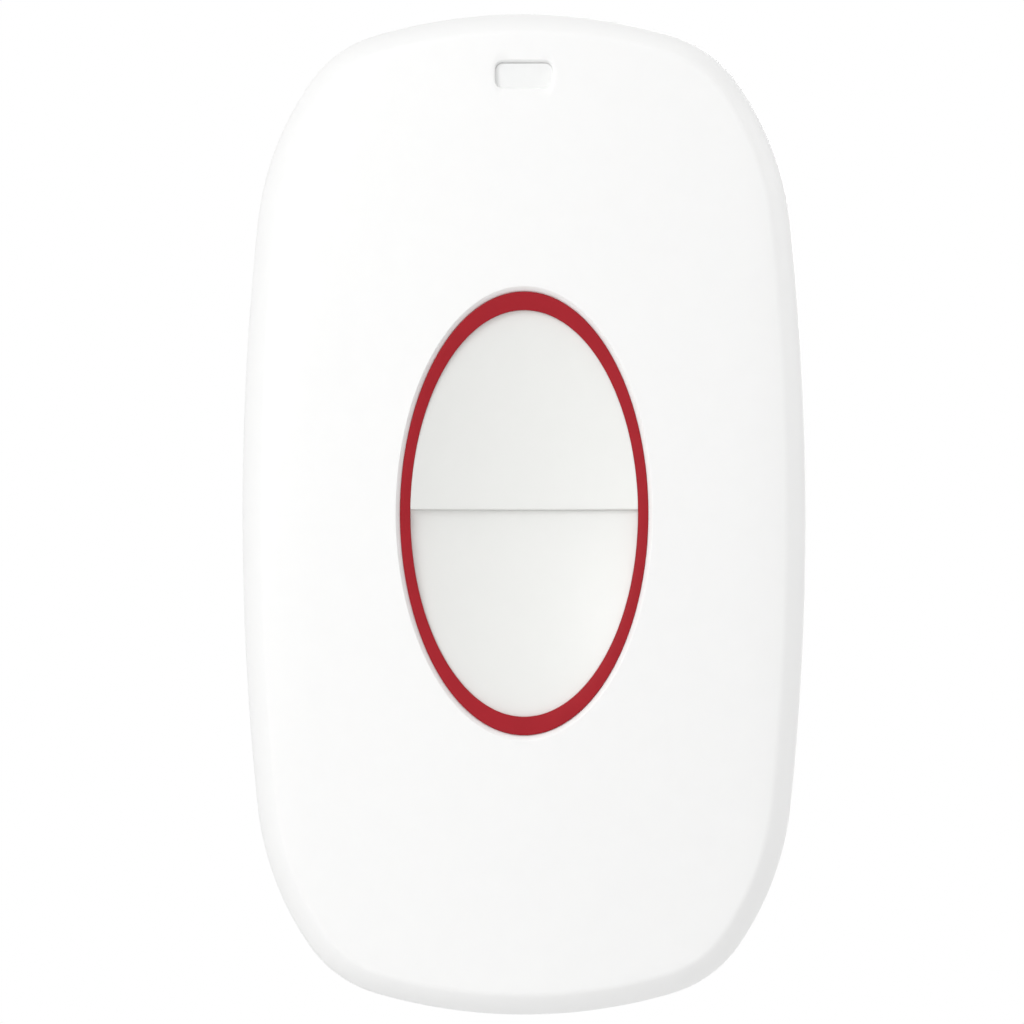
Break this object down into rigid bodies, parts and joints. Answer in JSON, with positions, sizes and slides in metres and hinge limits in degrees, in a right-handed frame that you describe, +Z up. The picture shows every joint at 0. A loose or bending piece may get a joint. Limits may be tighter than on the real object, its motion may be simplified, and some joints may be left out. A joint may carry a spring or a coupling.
{
  "type": "double panic button",
  "caption": "Pendant panic transmitter: a rounded upright white shell, half-oval press keys inside a red oval ring, a small light window, and a coin-turned battery door in the back.",
  "frame": {"origin": "middle of the line between the bracket holes, in the flat back face", "axes": "+Z up the long axis, +Y out of the back face, the keys face -Y, +X to the right seen from the front"},
  "size_m": [0.038, 0.0136, 0.0676],
  "materials": {
    "shell_white": "satin",
    "key_white": "satin",
    "ring_red": "satin",
    "lens_pale": "frosted",
    "seal_black": "matte",
    "silicone_grey": "matte",
    "moulding_black": "matte",
    "board_green": "satin",
    "ceramic_tan": "matte",
    "lamp_clear": "clear",
    "contact_metal": "satin",
    "steel": "satin",
    "label_white": "matte"
  },
  "bodies": {
    "housing": {"front_cover": "shell_white", "rear_cover": "shell_white", "case_seal": "seal_black", "trim_ring": "ring_red", "keypad_membrane": "silicone_grey", "indicator_lens": "lens_pale", "light_shroud": "moulding_black", "indicator_leds": "lamp_clear", "circuit_board": "board_green", "upper_switch_body": "moulding_black", "upper_switch_cover": "steel", "lower_switch_body": "moulding_black", "lower_switch_cover": "steel", "radio_chip": "moulding_black", "crystal_can": "steel", "chip_parts": "ceramic_tan", "antenna_strip": "contact_metal", "cell_holder": "moulding_black", "cell_can": "steel", "cell_seal": "seal_black", "cell_cap": "steel", "positive_contact": "contact_metal", "negative_contact": "contact_metal", "case_screws": "steel", "board_screws": "steel", "lanyard_bar": "steel", "rating_label": "label_white"},
    "upper_key": {"upper_button": "key_white", "upper_pad": "silicone_grey", "upper_switch_plunger": "moulding_black"},
    "lower_key": {"lower_button": "key_white", "lower_pad": "silicone_grey", "lower_switch_plunger": "moulding_black"},
    "door": {"battery_door": "shell_white", "door_seal": "seal_black"}
  },
  "joints": [
    {"name": "upper_key_press", "type": "slide", "parent": "housing", "child": "upper_key", "axis": [0, 1, 0], "range_m": [0, 0.0004], "stiffness_N_per_m": 4000},
    {"name": "lower_key_press", "type": "slide", "parent": "housing", "child": "lower_key", "axis": [0, 1, 0], "range_m": [0, 0.0004], "stiffness_N_per_m": 4000},
    {"name": "battery_door_turn", "type": "hinge", "parent": "housing", "child": "door", "pos_m": [0, 0, 0], "axis": [0, 1, 0], "range_deg": [0, 40]}
  ]
}
